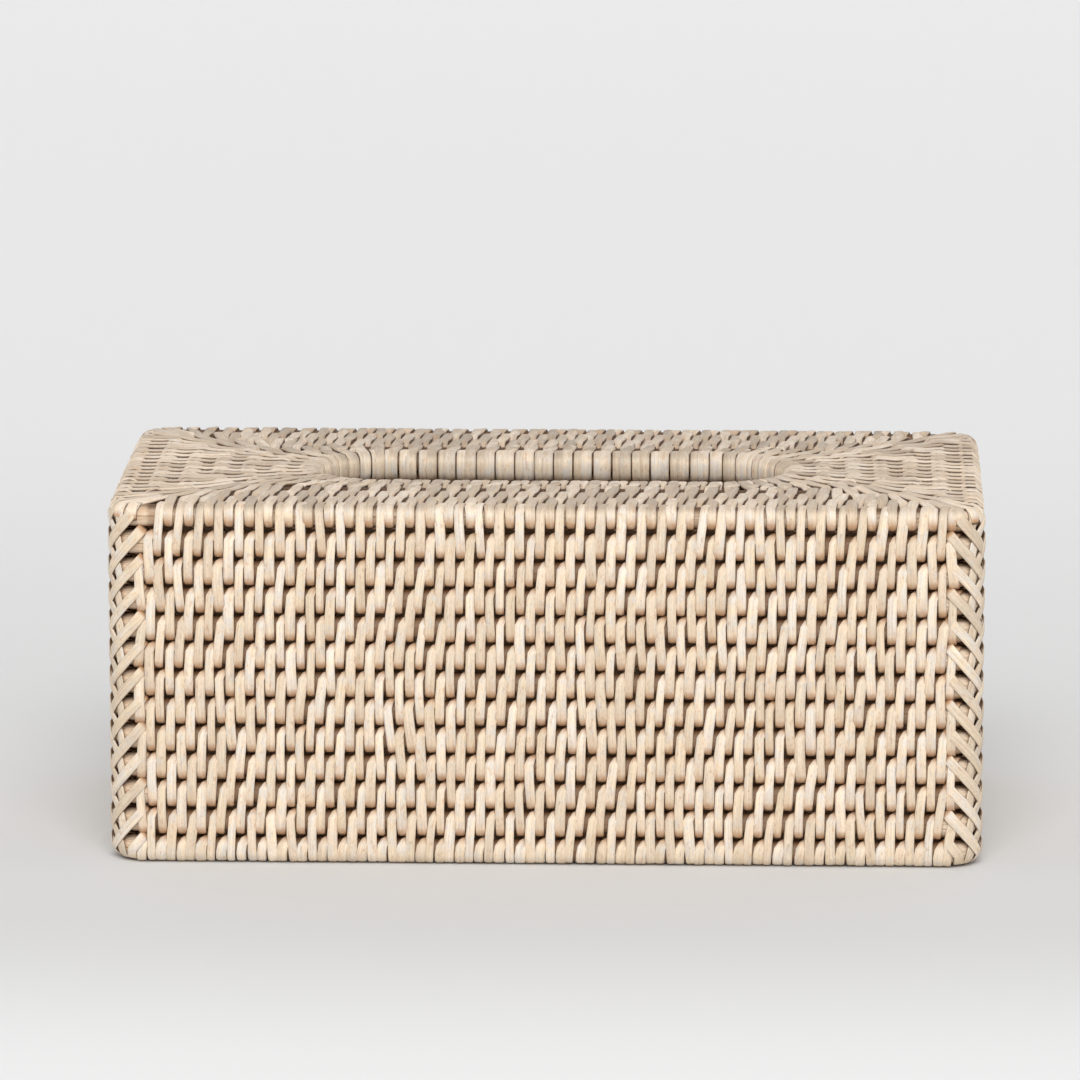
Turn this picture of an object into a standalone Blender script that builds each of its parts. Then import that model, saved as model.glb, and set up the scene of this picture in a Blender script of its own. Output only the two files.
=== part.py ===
"""Rattan tissue box cover: canes, peel bindings, wrapped slot rim and corner lashings.

Metres, +Z up. The origin is the middle of the footprint, on the surface that the cover stands on.
+X runs along the cover, and the front wall faces -Y. Everything is worked out from the sizes below.
"""

import math

import bmesh
import bpy
from mathutils import Vector

# Driving sizes of the cover
COVER_LENGTH = 0.280
COVER_DEPTH = 0.140
WALL_ROWS = 13
SLOT_LENGTH = 0.150
SLOT_WIDTH = 0.044
PLAN_CORNER_RADIUS = 0.011

# Driving sizes of the rattan
CANE_THICKNESS = 0.00685
PEEL_THICKNESS = 0.0008
PEEL_WIDTH = 0.0029
FIT_GAP = 0.0003
BARE_CORNER = 0.0135

# Counts of canes in the top, from the edge cane to the rim, across a band and along an end
BAND_STEPS = 4
END_STEPS = 6

# Counts that set how finely bends are drawn
BEND_STEPS = 4
RIM_BEND_STEPS = 7
INFILL_BEND_STEPS = 8
LASHING_SPAN_ROWS = 2
LASHING_STOPS = 11

# Shapes given as shares
OCTAGON_SHARE = math.tan(math.pi / 8)
RIM_ROUND_SHARE = 0.97
INFILL_ROOM_SHARE = 0.985
LASHING_DROP_SHARE = 0.30
SHOULDER_SHARE = 0.30
LASHING_INSET_SHARE = 0.80

# Sizes that follow from the ones above
WRAPPED_THICKNESS = CANE_THICKNESS + 2 * (FIT_GAP + PEEL_THICKNESS)
COVER_HEIGHT = WALL_ROWS * WRAPPED_THICKNESS
EDGE_X = (COVER_LENGTH - WRAPPED_THICKNESS) / 2
EDGE_Y = (COVER_DEPTH - WRAPPED_THICKNESS) / 2
EDGE_RADIUS = PLAN_CORNER_RADIUS - WRAPPED_THICKNESS / 2
HALF_BEND = EDGE_RADIUS * math.pi / 4
LASHING_REACH = HALF_BEND + BARE_CORNER - PLAN_CORNER_RADIUS - PEEL_WIDTH * LASHING_INSET_SHARE
RIM_X = (SLOT_LENGTH + WRAPPED_THICKNESS) / 2
RIM_Y = (SLOT_WIDTH + WRAPPED_THICKNESS) / 2
RIM_RADIUS = RIM_Y * RIM_ROUND_SHARE
TOP_Z = COVER_HEIGHT - WRAPPED_THICKNESS / 2
BAND_PITCH = (EDGE_Y - RIM_Y - WRAPPED_THICKNESS) / (BAND_STEPS - 1)
END_PITCH = (EDGE_X - RIM_X - WRAPPED_THICKNESS) / (END_STEPS - 1)
TOP_WIDEN = (END_PITCH / WRAPPED_THICKNESS, BAND_PITCH / WRAPPED_THICKNESS)
TOP_RINGS = BAND_STEPS - 1
INFILL_STEPS = END_STEPS - TOP_RINGS

# Finishes: base colour, roughness
FINISHES = {
    "cane": ((0.50, 0.33, 0.19, 1.0), 0.75),
    "wall_peel": ((0.82, 0.71, 0.56, 1.0), 0.62),
    "top_peel": ((0.66, 0.57, 0.46, 1.0), 0.62),
    "lashing_peel": ((0.84, 0.74, 0.60, 1.0), 0.60),
}


def clear_scene():
    """Remove whatever the scene holds."""
    for item in list(bpy.data.objects):
        bpy.data.objects.remove(item, do_unlink=True)


def finish(kind, name):
    """One material for one piece."""
    colour, roughness = FINISHES[kind]
    material = bpy.data.materials.new(name + "_finish")
    material.use_nodes = True
    shader = material.node_tree.nodes["Principled BSDF"]
    shader.inputs["Base Color"].default_value = colour
    shader.inputs["Roughness"].default_value = roughness
    shader.inputs["Metallic"].default_value = 0
    return material


def add_piece(name, kind, points, faces):
    """Make one closed body from points and faces, with its faces turned outwards."""
    mesh = bpy.data.meshes.new(name)
    mesh.from_pydata([tuple(point) for point in points], [], faces)
    shape = bmesh.new()
    shape.from_mesh(mesh)
    bmesh.ops.remove_doubles(shape, verts=shape.verts, dist=FIT_GAP / 100)
    bmesh.ops.recalc_face_normals(shape, faces=shape.faces)
    shape.to_mesh(mesh)
    shape.free()
    mesh.shade_smooth()
    mesh.set_sharp_from_angle(angle=math.radians(50))
    mesh.materials.append(finish(kind, name))
    piece = bpy.data.objects.new(name, mesh)
    bpy.context.scene.collection.objects.link(piece)
    return piece


def octagon(half_across, half_up):
    """Eight (across, up) corners with flats at the top, bottom and both sides."""
    c = OCTAGON_SHARE
    shares = [(1, -c), (1, c), (c, 1), (-c, 1), (-1, c), (-1, -c), (-c, -1), (c, -1)]
    return [(half_across * across, half_up * up) for across, up in shares]


def cane_section():
    """Section of a bare cane."""
    return octagon(CANE_THICKNESS / 2, CANE_THICKNESS / 2)


def bore_section():
    """Section of the space that a cane lies in, inside its binding."""
    half = CANE_THICKNESS / 2 + FIT_GAP
    return octagon(half, half)


def saddle_section():
    """Section of a binding that lies over a cane and down both its sides."""
    outer = octagon((WRAPPED_THICKNESS - FIT_GAP) / 2, WRAPPED_THICKNESS / 2)[:6]
    inner = bore_section()[:6]
    return outer + inner[::-1]


def wrapping_section():
    """Section of a close wrapping, open along the underside of its cane."""
    half = (WRAPPED_THICKNESS - FIT_GAP) / 2
    outer = octagon(half, WRAPPED_THICKNESS / 2)
    inner = bore_section()
    ring = outer[7:] + outer[:7]
    bore = inner[7:] + inner[:7]
    return ring + bore[::-1]


def ring_stations(half_x, half_y, radius, steps):
    """Points and outward directions round a rounded rectangle, anticlockwise from the +X side."""
    centres = [(1, 1), (-1, 1), (-1, -1), (1, -1)]
    stations = []
    for quarter, (sign_x, sign_y) in enumerate(centres):
        centre = Vector((sign_x * (half_x - radius), sign_y * (half_y - radius), 0))
        for step in range(steps + 1):
            turn = (quarter + step / steps) * math.pi / 2
            outward = Vector((math.cos(turn), math.sin(turn), 0))
            stations.append((centre + radius * outward, outward))
    return stations


def loft(name, kind, stations, section, height, stretch=(1, 1), closed=True):
    """Carry a section along level stations; stretch widens it along X and along Y."""
    points = []
    for place, outward in stations:
        across = Vector((outward.x * stretch[0], outward.y * stretch[1], 0))
        for offset, up in section:
            points.append(place + offset * across + Vector((0, 0, height + up)))
    count = len(section)
    spans = len(stations) if closed else len(stations) - 1
    faces = []
    for span in range(spans):
        here = span * count
        there = (span + 1) % len(stations) * count
        for corner in range(count):
            after = (corner + 1) % count
            faces.append((here + corner, here + after, there + after, there + corner))
    if not closed:
        faces.append(tuple(range(count)))
        faces.append(tuple(range((len(stations) - 1) * count, len(stations) * count)))
    return add_piece(name, kind, points, faces)


def row_height(row):
    """Height of the middle of a wall row, counted from the top."""
    return TOP_Z - row * WRAPPED_THICKNESS


def make_wall_canes():
    """Thirteen closed rings of cane; the first is also the edge of the top."""
    stations = ring_stations(EDGE_X, EDGE_Y, EDGE_RADIUS, BEND_STEPS)
    for row in range(WALL_ROWS):
        loft(f"cane_row_{row + 1:02d}", "cane", stations, cane_section(), row_height(row))


def make_wall_binding(name, half_run, wall_offset, along, outward):
    """Peel strips of one wall, as a ribbed sheet with a bore for each row's cane."""
    outer = octagon(WRAPPED_THICKNESS / 2, WRAPPED_THICKNESS / 2)
    bore = bore_section()
    points = []
    faces = []
    for row in range(WALL_ROWS):
        base = len(points)
        for end in (-half_run, half_run):
            for across, up in outer + bore:
                place = end * along + (wall_offset + across) * outward
                points.append(place + Vector((0, 0, row_height(row) + up)))
        for corner in range(8):
            after = (corner + 1) % 8
            ring, ring_next = base + corner, base + after
            hole, hole_next = ring + 8, ring_next + 8
            faces.append((ring, ring_next, hole_next, hole))
            faces.append((ring + 16, ring_next + 16, hole_next + 16, hole + 16))
            faces.append((hole, hole_next, hole_next + 16, hole + 16))
            joins_above = corner == 2 and row > 0
            joins_below = corner == 6 and row < WALL_ROWS - 1
            if not joins_above and not joins_below:
                faces.append((ring, ring_next, ring_next + 16, ring + 16))
    return add_piece(name, "wall_peel", points, faces)


def make_wall_bindings():
    """The four walls' peel, each stopping short of the lashed corners."""
    half_length = COVER_LENGTH / 2 - BARE_CORNER
    half_depth = COVER_DEPTH / 2 - BARE_CORNER
    x, y = Vector((1, 0, 0)), Vector((0, 1, 0))
    make_wall_binding("front_binding", half_length, EDGE_Y, x, -y)
    make_wall_binding("back_binding", half_length, EDGE_Y, x, y)
    make_wall_binding("left_binding", half_depth, EDGE_X, y, -x)
    make_wall_binding("right_binding", half_depth, EDGE_X, y, x)


def top_ring(step):
    """Half sizes and bend radius of a ring of the top; bends open out towards the rim."""
    share = step / BAND_STEPS
    radius = EDGE_RADIUS + (RIM_RADIUS - EDGE_RADIUS) * share * share
    half = WRAPPED_THICKNESS / 2
    return EDGE_X - half - (step - 0.5) * END_PITCH, EDGE_Y - half - (step - 0.5) * BAND_PITCH, radius


def make_top_rings():
    """Ring canes between the edge cane and the rim, each under its own binding."""
    for step in range(1, TOP_RINGS + 1):
        stations = ring_stations(*top_ring(step), BEND_STEPS)
        loft(f"top_cane_{step}", "cane", stations, cane_section(), TOP_Z, TOP_WIDEN)
        loft(f"top_binding_{step}", "top_peel", stations, saddle_section(), TOP_Z, TOP_WIDEN)


def make_slot_rim():
    """Rim cane of the slot in its close wrapping."""
    stations = ring_stations(RIM_X, RIM_Y, RIM_RADIUS, RIM_BEND_STEPS)
    loft("slot_rim_cane", "cane", stations, cane_section(), TOP_Z)
    loft("slot_rim_wrapping", "top_peel", stations, wrapping_section(), TOP_Z)


def ring_distance(place, half_x, half_y, radius):
    """Level distance of a place from a rounded rectangle."""
    over_x = abs(place.x) - (half_x - radius)
    over_y = abs(place.y) - (half_y - radius)
    outside = math.hypot(max(over_x, 0), max(over_y, 0))
    return abs(outside + min(max(over_x, over_y), 0) - radius)


def infill_path(step):
    """Stations of one infill cane at the +X end, from the middle of the end round to its corner."""
    half = WRAPPED_THICKNESS / 2
    share = (half + (step - 0.5) * END_PITCH) / (half + (INFILL_STEPS - 0.5) * END_PITCH)
    inner = (RIM_X, RIM_Y, RIM_RADIUS)
    shape = [a + (b - a) * share for a, b in zip(inner, top_ring(TOP_RINGS))]
    return ring_stations(*shape, INFILL_BEND_STEPS)[:INFILL_BEND_STEPS + 1]


def room_share(place, outward):
    """Room beside a place on an infill cane, as a share of what its binding takes up."""
    half = WRAPPED_THICKNESS / 2
    widened = half * math.hypot(outward.x * TOP_WIDEN[0], outward.y * TOP_WIDEN[1])
    rim_room = ring_distance(place, RIM_X, RIM_Y, RIM_RADIUS) / (half + widened)
    ring_room = ring_distance(place, *top_ring(TOP_RINGS)) / (widened + widened)
    return min(rim_room, ring_room)


def infill_reach():
    """Half span of the infill canes, which end together where the first of them runs out of room."""
    reach = RIM_Y
    for step in range(1, INFILL_STEPS):
        path = infill_path(step)
        for (here, facing), (there, turned) in zip(path, path[1:]):
            before, after = room_share(here, facing), room_share(there, turned)
            if after < INFILL_ROOM_SHARE:
                part = max(before - INFILL_ROOM_SHARE, 0) / (before - after)
                reach = min(reach, here.y + part * (there.y - here.y))
                break
    return reach


def infill_stations(step):
    """Stations of one infill cane at the +X end, from one of its ends to the other."""
    reach = infill_reach()
    path = infill_path(step)
    kept = path[:1]
    for (here, facing), (there, turned) in zip(path, path[1:]):
        if there.y < reach:
            kept.append((there, turned))
        elif here.y < reach:
            part = (reach - here.y) / (there.y - here.y)
            kept.append((here.lerp(there, part), facing.lerp(turned, part).normalized()))
    mirrored = [(Vector((p.x, -p.y, 0)), Vector((n.x, -n.y, 0))) for p, n in kept[::-1]]
    return mirrored + kept


def make_end_infill():
    """Short bent canes that fill the ends of the top between the inner ring and the rim."""
    for side, sign in (("left", -1), ("right", 1)):
        for step in range(1, INFILL_STEPS):
            right = infill_stations(step)
            stations = [(Vector((sign * p.x, p.y, 0)), Vector((sign * n.x, n.y, 0))) for p, n in right]
            loft(f"end_cane_{side}_{step}", "cane", stations, cane_section(), TOP_Z, TOP_WIDEN, False)
            cover = saddle_section()
            loft(f"end_binding_{side}_{step}", "top_peel", stations, cover, TOP_Z, TOP_WIDEN, False)


def corner_place(run, across, sign_x, sign_y):
    """Level place and outward direction at a run past the middle of a corner bend."""
    centre = Vector((EDGE_X - EDGE_RADIUS, EDGE_Y - EDGE_RADIUS, 0))
    turn = math.pi / 4
    beyond = Vector((0, 0, 0))
    if run > HALF_BEND:
        turn, beyond = math.pi / 2, Vector((HALF_BEND - run, 0, 0))
    elif run < -HALF_BEND:
        turn, beyond = 0, Vector((0, HALF_BEND + run, 0))
    elif HALF_BEND > 0:
        turn += run / EDGE_RADIUS
    outward = Vector((math.cos(turn), math.sin(turn), 0))
    place = centre + beyond + (EDGE_RADIUS + across) * outward
    flip = Vector((sign_x, sign_y, 1))
    return place * flip, outward * flip


def lashing_route(sign_x, sign_y):
    """Centre line of one corner's lashing: (place, thickness direction) pairs from top to bottom."""
    outside = CANE_THICKNESS / 2 + FIT_GAP + PEEL_THICKNESS / 2
    shoulder = SHOULDER_SHARE * CANE_THICKNESS
    middle = LASHING_REACH / 3
    crown = (EDGE_RADIUS + outside) / math.cos(math.pi / 12) - EDGE_RADIUS
    drop = LASHING_DROP_SHARE * WRAPPED_THICKNESS
    up = Vector((0, 0, 1))
    gap_top = COVER_HEIGHT - WRAPPED_THICKNESS
    route = []
    for loop in range(WALL_ROWS - 1 - LASHING_SPAN_ROWS):
        start = gap_top - loop * WRAPPED_THICKNESS
        finish_height = start - LASHING_SPAN_ROWS * WRAPPED_THICKNESS
        fall = start - finish_height - 2 * drop
        stops = [
            (LASHING_REACH, -shoulder, start, 0),
            (LASHING_REACH, shoulder, start, 0),
            (LASHING_REACH, outside, start - drop, 1),
            (middle, crown, start - drop - fall / 3, 1),
            (-middle, crown, start - drop - 2 * fall / 3, 1),
            (-LASHING_REACH, outside, finish_height + drop, 1),
            (-LASHING_REACH, shoulder, finish_height, 0),
            (-LASHING_REACH, -shoulder, finish_height, 0),
            (-LASHING_REACH, -outside, finish_height + drop, -1),
            (0, -outside, (finish_height + start - WRAPPED_THICKNESS) / 2, -1),
            (LASHING_REACH, -outside, start - WRAPPED_THICKNESS - drop, -1),
        ]
        for run, across, height, facing in stops:
            place, outward = corner_place(run, across, sign_x, sign_y)
            thick = facing * outward if facing else math.copysign(1, run) * up
            route.append((place + Vector((0, 0, height)), thick))
    return route


def least_gap(route, stops_per_loop):
    """Least distance between the strip surfaces of different turns, measured on points."""
    centres = [place for place, thick in route]
    least = COVER_HEIGHT
    for first, here in enumerate(centres):
        for second in range(first + stops_per_loop - 2, len(centres) - 1):
            a, b = centres[second], centres[second + 1]
            for part in range(5):
                least = min(least, (here - a.lerp(b, part / 4)).length)
    return least - PEEL_WIDTH


def make_lashing(name, sign_x, sign_y):
    """One unbroken strip wound down the cane bends of an upright corner."""
    route = lashing_route(sign_x, sign_y)
    section = [(1, 1), (-1, 1), (-1, -1), (1, -1)]
    points = []
    for index, (place, thick) in enumerate(route):
        before = route[max(index - 1, 0)][0]
        after = route[min(index + 1, len(route) - 1)][0]
        ahead = (after - before).normalized()
        level = (thick - thick.dot(ahead) * ahead).normalized()
        side = ahead.cross(level)
        for across, up in section:
            points.append(place + across * PEEL_WIDTH / 2 * side + up * PEEL_THICKNESS / 2 * level)
    faces = []
    for span in range(len(route) - 1):
        base = 4 * span
        for corner in range(4):
            after = (corner + 1) % 4
            faces.append((base + corner, base + after, base + 4 + after, base + 4 + corner))
    faces.append((0, 1, 2, 3))
    faces.append(tuple(range(len(points) - 4, len(points))))
    print(f"{name}: least gap between turns {1000 * least_gap(route, LASHING_STOPS):.2f} mm")
    return add_piece(name, "lashing_peel", points, faces)


def make_lashings():
    """The lashings of the four upright corners."""
    for depth_name, sign_y in (("front", -1), ("back", 1)):
        for side, sign_x in (("left", -1), ("right", 1)):
            make_lashing(f"corner_lashing_{depth_name}_{side}", sign_x, sign_y)


def main():
    clear_scene()
    make_wall_canes()
    make_wall_bindings()
    make_top_rings()
    make_slot_rim()
    make_end_infill()
    make_lashings()


main()
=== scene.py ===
"""Whitewashed rattan tissue box cover: canes, woven peel strips, wrapped slot rim and corner lashings.

Metres, +Z up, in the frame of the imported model. The front wall faces -Y.
A strip's own frame has x across the strip, y from the lower or inner cane to the upper or outer one,
and z away from the canes.
"""

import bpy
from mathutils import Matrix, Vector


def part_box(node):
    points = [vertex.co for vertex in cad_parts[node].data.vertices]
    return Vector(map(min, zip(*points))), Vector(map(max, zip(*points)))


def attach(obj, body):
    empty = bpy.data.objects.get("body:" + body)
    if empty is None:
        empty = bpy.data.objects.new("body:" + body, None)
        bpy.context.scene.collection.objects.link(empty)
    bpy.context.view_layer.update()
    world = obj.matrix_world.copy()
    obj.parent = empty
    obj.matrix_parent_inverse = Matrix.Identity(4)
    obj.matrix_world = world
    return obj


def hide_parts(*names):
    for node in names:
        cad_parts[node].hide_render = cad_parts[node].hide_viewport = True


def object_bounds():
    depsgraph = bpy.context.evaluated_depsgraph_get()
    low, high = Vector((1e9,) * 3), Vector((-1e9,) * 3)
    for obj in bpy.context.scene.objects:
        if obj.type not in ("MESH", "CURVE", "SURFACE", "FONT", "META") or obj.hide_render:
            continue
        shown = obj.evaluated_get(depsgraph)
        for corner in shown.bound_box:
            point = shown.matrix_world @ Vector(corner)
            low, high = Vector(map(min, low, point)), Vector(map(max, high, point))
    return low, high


bl_info = {
    "name": "Rattan tissue box cover",
    "version": (1, 0, 0),
    "blender": (4, 5, 0),
    "location": "3D View > Sidebar > Rattan",
    "description": "Dresses a tissue box cover in canes, woven peel strips and corner lashings",
    "category": "Add Mesh",
}

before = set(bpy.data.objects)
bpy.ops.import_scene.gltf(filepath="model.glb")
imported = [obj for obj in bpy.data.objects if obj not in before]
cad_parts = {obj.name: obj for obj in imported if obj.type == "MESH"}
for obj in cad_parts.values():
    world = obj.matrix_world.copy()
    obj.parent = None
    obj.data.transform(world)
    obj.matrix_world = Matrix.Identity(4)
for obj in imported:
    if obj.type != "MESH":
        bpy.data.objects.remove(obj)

import math
import random

import bmesh
import bpy
from bpy.props import FloatProperty, FloatVectorProperty, IntProperty, PointerProperty
from mathutils import Matrix, Vector, noise

CAD_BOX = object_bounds()
UP = Vector((0, 0, 1))

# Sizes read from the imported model
WALL_NODES = sorted(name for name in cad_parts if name.startswith("cane_row_"))
ROW_BOXES = [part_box(name) for name in WALL_NODES]
ROW_HEIGHTS = [(low.z + high.z) / 2 for low, high in ROW_BOXES]
ROWS = len(ROW_HEIGHTS)
ROW_PITCH = ROW_HEIGHTS[0] - ROW_HEIGHTS[1]
CANE_RADIUS = (ROW_BOXES[0][1].z - ROW_BOXES[0][0].z) / 2
TOP_HEIGHT = ROW_HEIGHTS[0]
EDGE_X = ROW_BOXES[0][1].x - CANE_RADIUS
EDGE_Y = ROW_BOXES[0][1].y - CANE_RADIUS
RIM_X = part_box("slot_rim_cane")[1].x - CANE_RADIUS
RIM_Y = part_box("slot_rim_cane")[1].y - CANE_RADIUS
INFILL_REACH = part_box("end_cane_left_1")[1].y
END_WALL_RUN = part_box("left_binding")[1].y

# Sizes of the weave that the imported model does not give: bends, numbers of steps from the edge cane to
# the rim, the bare corners, and how far the strips of the long walls and of their first row reach
EDGE_BEND = 0.0065
RIM_ROUND_SHARE = 0.97
BAND_STEPS = 4
END_STEPS = 6
TOP_RINGS = BAND_STEPS - 1
INFILL_STEPS = END_STEPS - TOP_RINGS
BARE_CORNER = 0.0125
CORNER_FADE = 0.002
LONG_WALL_RUN = CAD_BOX[1].x - 0.0092
FIRST_ROW_RUN = CAD_BOX[1].x - 0.0145

# Spacing of the points that draw a cane, and its number of sides
STRAIGHT_STEP = 0.012
BEND_STEP = 0.0016
INFILL_STEP = 0.002
CANE_SIDES = 16


def number(name, default, description, **kind):
    """A number that a user may change, with its unit or subtype where it has one."""
    return FloatProperty(name=name, default=default, description=description, **kind)


def length(name, default, description):
    """A length that a user may change."""
    return number(name, default, description, unit="LENGTH")


def angle(name, degrees, description):
    """An angle that a user may change, given in degrees."""
    return number(name, math.radians(degrees), description, subtype="ANGLE")


def tint(name, default, description):
    """A colour that a user may change."""
    return FloatVectorProperty(name=name, default=default, description=description, subtype="COLOR")


class WeaveSizes(bpy.types.PropertyGroup):
    """Sizes of the peel strips and of how unevenly they lie."""
    strip_pitch: length("Strip pitch", 0.00637, "Spacing of the strips along one course")
    strip_width: length("Strip width", 0.00308, "Width of a strip of peel")
    top_breadth: number(
        "Top breadth", 1.25, "Width of the other strips of the top, in strip widths")
    top_slant: length(
        "Top slant", 0.0014, "How far the outer end of a strip of the top lies along its course")
    rim_drop: length("Rim drop", 0.0020, "How far the wrapping of the slot rim hangs under the rim cane")
    strip_thickness: length("Strip thickness", 0.00075, "Thickness of a strip along its middle")
    clearance: length("Clearance", 0.00012, "Gap between a cane and the underside of its strips")
    groove_dip: length("Groove dip", 0.00035, "How far a strip sinks between its two canes")
    square_turn: length("Square turn", 0.0003, "How far a strip stands off the cane halfway round its turn")
    sag: length("Sag", 0.00028, "How far the lower end of a strip of the walls hangs off its cane")
    top_lean: length("Upper lean", 0.0023, "Sideways reach of a strip where it comes out of its gap")
    bridge_breadth: number(
        "Fan breadth", 1.26, "Width of the strips that fan over the top's corners, in strip widths")
    lashing_width: length("Lashing width", 0.0035, "Width of a strip of the corner lashings")
    lashing_thickness: length("Lashing thickness", 0.00046, "Thickness of a strip of the corner lashings")
    slide: length("Slide", 0.00016, "Most that a strip is off its place along the course")
    lean: angle("Lean", 1.8, "Most that a strip leans from its course")
    shared_lean: angle("Shared lean", 9, "Most that a patch of neighbouring strips leans together")
    drift: length("Drift", 0.0008, "Slow wandering of the strips along a course")
    strip_unevenness: length("Strip unevenness", 0.00016, "How far a strip wanders from its true shape")
    cane_unevenness: length("Cane unevenness", 0.0003, "How far a cane wanders from its true line")
    corner_swell: length(
        "Corner swell", 0.0005, "How much higher and lower the wall canes reach at the bare corners")
    seed: IntProperty(
        name="Seed", default=7, description="Number that fixes everything random in the weave")


class Finishes(bpy.types.PropertyGroup):
    """Colours of the rattan."""
    wall_peel: tint("Wall peel", (0.975, 0.81, 0.618), "Whitewashed peel of the walls")
    # The top's peel is darker than the walls' partly as painted shade, for the less light that falls on the
    # top, and partly for a duller finish
    top_peel: tint("Top peel", (0.57, 0.465, 0.356), "Duller whitewashed peel of the top")
    lashing_peel: tint("Lashing peel", (0.90, 0.745, 0.565), "Pale peel of the corner lashings")
    # Also used for the peach at the strips' ends where they turn into a gap, which is partly painted shade
    raw_peel_and_end_shade: tint(
        "Raw peel", (0.62, 0.34, 0.165), "Peach tone of peel where the whitewash is worn or missing")
    straw_peel: tint("Straw peel", (0.94, 0.765, 0.545), "Yellower tone of some strips")
    # Painted shade: brown put on strips where they dive into a gap and along their edges, and on canes
    # under the top
    gap_shade_brown: tint("Deep peel", (0.092, 0.043, 0.019), "Brown of a strip where it dives into a gap")
    wash: tint("Wash", (0.80, 0.77, 0.72), "Grey-white paint left on the strips")
    cane: tint("Cane", (0.73, 0.52, 0.345), "Bare cane at the corners")
    # Used both for the dark lengthwise lines of the cane and for painted shade on its sides and where
    # strips hide it
    cane_lines_and_shade: tint("Cane lines", (0.165, 0.078, 0.031), "Dark lengthwise lines of bare cane")


class StageSettings(bpy.types.PropertyGroup):
    """Camera, floor and lamps."""
    distance: length("Camera distance", 2.6, "Distance of the camera from the cover")
    azimuth: angle("Azimuth", 1.84, "Turn of the camera round the cover from the front")
    elevation: angle("Elevation", 11.95, "Height angle of the camera above the cover")
    lens: number("Lens", 264.9, "Focal length in millimetres on a 36 mm sensor")
    floor_colour: tint("Floor", (0.78, 0.78, 0.78), "Colour of the floor and backdrop")
    key_power: number("Front light", 1.80, "Strength of the wide soft light from the front")
    sky: number("Sky", 0.55, "Strength of the even light from all round")


def ring_shape(step):
    """Half sizes and bend radius of a ring of the top, from the edge cane to the slot rim."""
    rim_bend = RIM_Y * RIM_ROUND_SHARE
    if step == 0:
        return EDGE_X, EDGE_Y, EDGE_BEND
    if step == BAND_STEPS:
        return RIM_X, RIM_Y, rim_bend
    share = step / BAND_STEPS
    inset_x = ROW_PITCH / 2 + (step - 0.5) * (EDGE_X - RIM_X - ROW_PITCH) / (END_STEPS - 1)
    inset_y = ROW_PITCH / 2 + (step - 0.5) * (EDGE_Y - RIM_Y - ROW_PITCH) / (BAND_STEPS - 1)
    return EDGE_X - inset_x, EDGE_Y - inset_y, EDGE_BEND + (rim_bend - EDGE_BEND) * share * share


def infill_shape(step):
    """Half sizes and bend radius of the ring that an infill cane is a part of."""
    lane = (EDGE_X - RIM_X - ROW_PITCH) / (END_STEPS - 1)
    share = (ROW_PITCH / 2 + (step - 0.5) * lane) / (ROW_PITCH / 2 + (INFILL_STEPS - 0.5) * lane)
    return tuple(a + (b - a) * share for a, b in zip(ring_shape(BAND_STEPS), ring_shape(TOP_RINGS)))


def ring_length(shape):
    """Length round a rounded rectangle."""
    half_x, half_y, radius = shape
    return 4 * (half_x + half_y - 2 * radius) + 2 * math.pi * radius


def ring_walk(shape, run):
    """Place and outward direction at a run round a rounded rectangle, from the middle of the +X side."""
    half_x, half_y, radius = shape
    quarter = ring_length(shape) / 4
    index = int(run // quarter) % 4
    along = run % quarter
    if index % 2:
        along = quarter - along
    side, bend = half_y - radius, radius * math.pi / 2
    if along < side:
        place, facing = Vector((half_x, along, 0)), Vector((1, 0, 0))
    elif along < side + bend:
        turn = (along - side) / radius
        facing = Vector((math.cos(turn), math.sin(turn), 0))
        place = Vector((half_x - radius, side, 0)) + radius * facing
    else:
        place, facing = Vector((half_x - radius - (along - side - bend), half_y, 0)), Vector((0, 1, 0))
    flip = Vector((*((1, 1), (-1, 1), (-1, -1), (1, -1))[index], 1))
    return place * flip, facing * flip


def ring_runs(shape):
    """Runs of the points that draw a ring: close together in the bends and wide apart elsewhere."""
    half_x, half_y, radius = shape
    quarter = ring_length(shape) / 4
    first = []
    start = 0
    for reach, step in ((half_y - radius, STRAIGHT_STEP), (radius * math.pi / 2, BEND_STEP),
                        (half_x - radius, STRAIGHT_STEP)):
        count = max(round(reach / step), 1)
        first += [start + reach * number / count for number in range(count)]
        start += reach
    runs = []
    for index in range(4):
        if index % 2:
            runs += [index * quarter + quarter - run for run in ([quarter] + first[:0:-1])]
        else:
            runs += [index * quarter + run for run in first]
    return runs


def put(socket, value):
    """Give an input a link from a socket or from a node's first output, or else a plain value."""
    if isinstance(value, bpy.types.Node):
        value = value.outputs[0]
    if isinstance(value, bpy.types.NodeSocket):
        socket.id_data.links.new(value, socket)
    else:
        socket.default_value = (*value, 1.0) if socket.type == "RGBA" else value


def add_node(tree, kind, inputs=(), **settings):
    """A new node with its settings, and its inputs by name or number."""
    node = tree.nodes.new(kind)
    for name, value in settings.items():
        setattr(node, name, value)
    for key, value in dict(inputs).items():
        put(node.inputs[key], value)
    return node


def maths(tree, operation, *values):
    """A Math node's result."""
    return add_node(tree, "ShaderNodeMath", enumerate(values), operation=operation).outputs[0]


def vector_maths(tree, operation, *values):
    """A Vector Math node's result."""
    return add_node(tree, "ShaderNodeVectorMath", enumerate(values), operation=operation).outputs[0]


def vector_of(tree, *parts):
    """A vector joined from three values."""
    return add_node(tree, "ShaderNodeCombineXYZ", enumerate(parts)).outputs[0]


def parts_of(tree, vector):
    """The three values that a vector is joined from."""
    return add_node(tree, "ShaderNodeSeparateXYZ", {0: vector}).outputs


def grey(tree, value):
    """One value as a grey colour."""
    return add_node(tree, "ShaderNodeCombineColor", enumerate((value, value, value))).outputs[0]


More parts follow.
